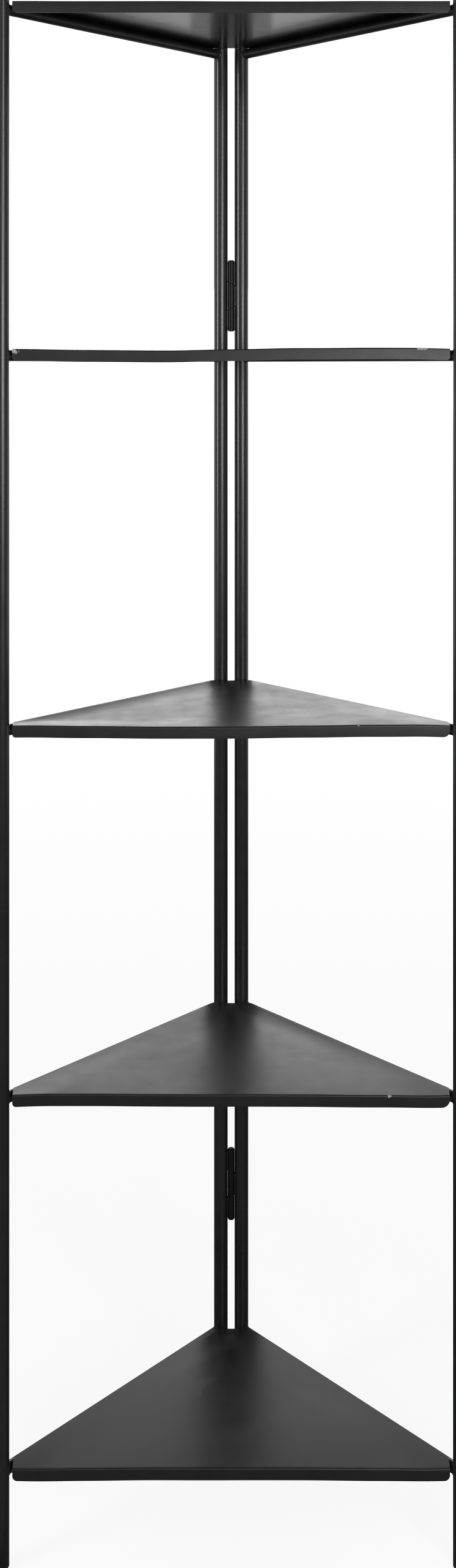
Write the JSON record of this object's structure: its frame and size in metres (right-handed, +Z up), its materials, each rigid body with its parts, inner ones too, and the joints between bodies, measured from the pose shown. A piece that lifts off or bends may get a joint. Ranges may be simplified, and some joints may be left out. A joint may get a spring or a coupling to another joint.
{
  "type": "corner shelf unit",
  "caption": "Tall folding corner shelf unit of round steel posts with loose triangular sheet shelves on side rails, two wings joined by barrel hinges at the back corner.",
  "frame": {"origin": "centre of the bounding box at floor level", "axes": "+Z up, +X to the right seen from the front, +Y to the rear corner, front edges of the shelves along X"},
  "size_m": [0.515, 0.2532, 1.7],
  "materials": {
    "post_paint": "semi-gloss black powder coat",
    "rail_paint": "semi-gloss black powder coat",
    "shelf_paint": "semi-gloss black powder coat",
    "hinge_paint": "semi-gloss black powder coat",
    "weld_paint": "painted weld bead",
    "plug_plastic": "matt black"
  },
  "bodies": {
    "left_wing": {"left_front_post": "post_paint", "left_front_foot": "plug_plastic", "left_front_cap": "plug_plastic", "left_rear_post": "post_paint", "left_rear_foot": "plug_plastic", "left_rear_cap": "plug_plastic", "left_rail_1": "rail_paint", "left_rail_2": "rail_paint", "left_rail_3": "rail_paint", "left_rail_4": "rail_paint", "left_rail_5": "rail_paint", "left_welds": "weld_paint", "upper_outer_knuckles": "hinge_paint", "upper_hinge_pin": "hinge_paint", "lower_outer_knuckles": "hinge_paint", "lower_hinge_pin": "hinge_paint"},
    "right_wing": {"right_front_post": "post_paint", "right_front_foot": "plug_plastic", "right_front_cap": "plug_plastic", "right_rear_post": "post_paint", "right_rear_foot": "plug_plastic", "right_rear_cap": "plug_plastic", "right_rail_1": "rail_paint", "right_rail_2": "rail_paint", "right_rail_3": "rail_paint", "right_rail_4": "rail_paint", "right_rail_5": "rail_paint", "right_welds": "weld_paint", "upper_middle_knuckle": "hinge_paint", "lower_middle_knuckle": "hinge_paint"},
    "shelf_1": {"shelf_1": "shelf_paint"},
    "shelf_2": {"shelf_2": "shelf_paint"},
    "shelf_3": {"shelf_3": "shelf_paint"},
    "shelf_4": {"shelf_4": "shelf_paint"},
    "shelf_5": {"shelf_5": "shelf_paint"}
  },
  "joints": [
    {"name": "wing_fold", "type": "hinge", "parent": "left_wing", "child": "right_wing", "pos_m": [0, 0.11559, 0.85], "axis": [0, 0, -1], "range_deg": [0, 90]},
    {"name": "shelf_1_pull_out", "type": "slide", "parent": "left_wing", "child": "shelf_1", "axis": [-0.1736, -0.9848, 0], "range_m": [0, 1.26]},
    {"name": "shelf_2_pull_out", "type": "slide", "parent": "left_wing", "child": "shelf_2", "axis": [-0.1736, -0.9848, 0], "range_m": [0, 1.26]},
    {"name": "shelf_3_pull_out", "type": "slide", "parent": "left_wing", "child": "shelf_3", "axis": [-0.1736, -0.9848, 0], "range_m": [0, 1.26]},
    {"name": "shelf_4_pull_out", "type": "slide", "parent": "left_wing", "child": "shelf_4", "axis": [-0.1736, -0.9848, 0], "range_m": [0, 1.26]},
    {"name": "shelf_5_pull_out", "type": "slide", "parent": "left_wing", "child": "shelf_5", "axis": [-0.1736, -0.9848, 0], "range_m": [0, 1.26]}
  ],
  "couplings": [
    {"joint": "shelf_1_pull_out", "follows": "wing_fold", "m_per_rad": 0.8},
    {"joint": "shelf_2_pull_out", "follows": "wing_fold", "m_per_rad": 0.8},
    {"joint": "shelf_3_pull_out", "follows": "wing_fold", "m_per_rad": 0.8},
    {"joint": "shelf_4_pull_out", "follows": "wing_fold", "m_per_rad": 0.8},
    {"joint": "shelf_5_pull_out", "follows": "wing_fold", "m_per_rad": 0.8}
  ]
}
